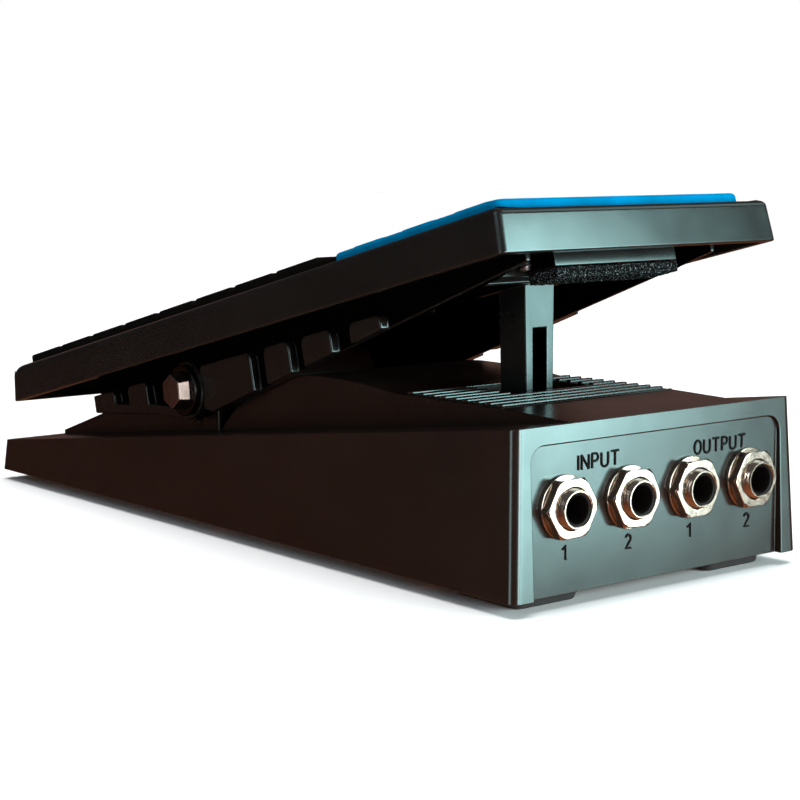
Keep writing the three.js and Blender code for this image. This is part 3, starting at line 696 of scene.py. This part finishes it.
def label(name, text, middle_x, foot_z, height, gap=0.32):
    """Raised strokes on the panel, half sunk in it."""
    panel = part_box("jack_washer_1")[1].y
    widths = [STROKES[letter][0] for letter in text]
    total = sum(widths) + gap * (len(text) - 1)
    data = bpy.data.curves.new(name, "CURVE")
    data.dimensions = "3D"
    data.bevel_depth = STROKE_R
    data.bevel_resolution = 3
    data.use_fill_caps = True
    start = -total / 2
    for letter in text:
        width, strokes = STROKES[letter]
        for stroke in strokes:
            spline = data.splines.new("POLY")
            spline.points.add(len(stroke) - 1)
            for point, (x, z) in zip(spline.points, stroke):
                point.co = (middle_x + (start + x) * height, panel, foot_z + z * height, 1)
        start += width + gap
    return smooth(applied(link(name, data)), 60)


JACK_X = [sum(v.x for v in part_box(f"jack_bushing_{i}")) / 2 for i in range(1, 5)]
# name, text, middle in X, foot in Z, height
LABELS = [("label_input", "INPUT", -19.6 * MM, 30.9 * MM, 3.3 * MM)]
LABELS += [("label_output", "OUTPUT", 20.6 * MM, 30.6 * MM, 3.2 * MM)]
LABELS += [(f"label_{i + 1}", str(i % 2 + 1), x, 10.9 * MM, 3.2 * MM) for i, x in enumerate(JACK_X)]
# the raised letters take the darker, nearly glossless jack plastic rather than the panel's own, so they read dark:
# painted shade on the strokes
for entry in LABELS:
    place(label(*entry), "base", "jack_plastic")


# ---------------------------------------------------------------- floor, light
FLOOR_DROP = 0.2 * MM  # keeps the floor clear of the feet's soles


def add_area(name, position, target, size, radiance, colour=(1, 1, 1)):
    """A softbox of that radiance, facing the target."""
    light = bpy.data.lights.new(name, "AREA")
    light.shape = "RECTANGLE"
    light.size, light.size_y = size
    light.energy = radiance * math.pi * size[0] * size[1]
    light.color = colour
    obj = link(name, light)
    obj.location = position
    turn = (Vector(target) - Vector(position)).to_track_quat("-Z", "Y")
    obj.rotation_euler = turn.to_euler()


def make_overhead():
    """A broad soft light from straight above, the same over the whole floor."""
    light = bpy.data.lights.new("overhead", "SUN")
    light.energy = 3.35
    light.angle = math.radians(50)
    link("overhead", light).visible_glossy = False


def make_floor():
    bm = bmesh.new()
    bmesh.ops.create_grid(bm, x_segments=1, y_segments=1, size=6)
    floor = finish_mesh(bm, "floor")
    floor.location.z = -FLOOR_DROP
    n = Nodes("floor_white")
    pale = n.ramp(n.noise(3, 2), [(0, (0.93, 0.93, 0.93)), (1, (0.96, 0.96, 0.96))])
    n.join(pale, n.shader.inputs["Base Color"])
    n.set(Roughness=0.9, Specular_IOR_Level=0.1)
    floor.data.materials.append(n.material)
    floor.visible_glossy = False  # the gloss on the pedal shows the studio, not the floor
    floor.visible_shadow = False  # the key light reaches below the floor's level


# the dim room that the gloss reflects, from straight down to straight up
ROOM = [
    (0.0, (0.40, 0.14, 0.06)),
    (0.42, (0.08, 0.028, 0.018)),
    (0.52, (0.025, 0.018, 0.015)),
    (0.7, (0.03, 0.03, 0.03)),
    (1.0, (0.12, 0.12, 0.12)),
]


def make_world():
    """White where the camera sees it, dim and warm for everything that it lights."""
    world = bpy.data.worlds.new("studio")
    world.use_nodes = True
    tree = world.node_tree
    background = tree.nodes["Background"]
    path = tree.nodes.new("ShaderNodeLightPath")
    mix = tree.nodes.new("ShaderNodeMix")
    mix.data_type = "RGBA"
    mix.inputs[7].default_value = (1, 1, 1, 1)
    height = tree.nodes.new("ShaderNodeSeparateXYZ")
    tree.links.new(tree.nodes.new("ShaderNodeTexCoord").outputs["Generated"], height.inputs["Vector"])
    span = tree.nodes.new("ShaderNodeMapRange")
    span.inputs["From Min"].default_value = -1
    tree.links.new(height.outputs["Z"], span.inputs["Value"])
    room = tree.nodes.new("ShaderNodeValToRGB")
    fill_ramp(room, ROOM)
    tree.links.new(span.outputs["Result"], room.inputs["Fac"])
    tree.links.new(room.outputs["Color"], mix.inputs[6])
    tree.links.new(path.outputs["Is Camera Ray"], mix.inputs["Factor"])
    tree.links.new(mix.outputs[2], background.inputs["Color"])
    bpy.context.scene.world = world


make_floor()
make_world()
make_overhead()
add_area("key", (0.44, -1.07, 0.15), (0, -0.12, 0.03), (0.8, 0.7), 12, (0.78, 1, 1))
add_area("front", (-0.15, -1.2, 0.12), (0, 0, 0.04), (0.32, 0.6), 14)
add_area("high_right", (0.68, -0.3, 0.85), (0, -0.05, 0.05), (0.6, 0.7), 1.2, (0.8, 1, 1))
add_area("left", (-0.9, 0.0, 0.65), (0, 0, 0.04), (0.9, 0.5), 1.2, (0.75, 0.9, 1))
add_area("left_strip", (-1.0, 0.12, 0.0), (0, 0, 0.04), (0.35, 0.5), 2.5)
add_area("back_card", (0.9, 1.2, 0.3), (0, 0, 0.05), (1.6, 0.6), 0.15, (1, 0.52, 0.42))

bpy.context.scene.view_settings.view_transform = "Standard"
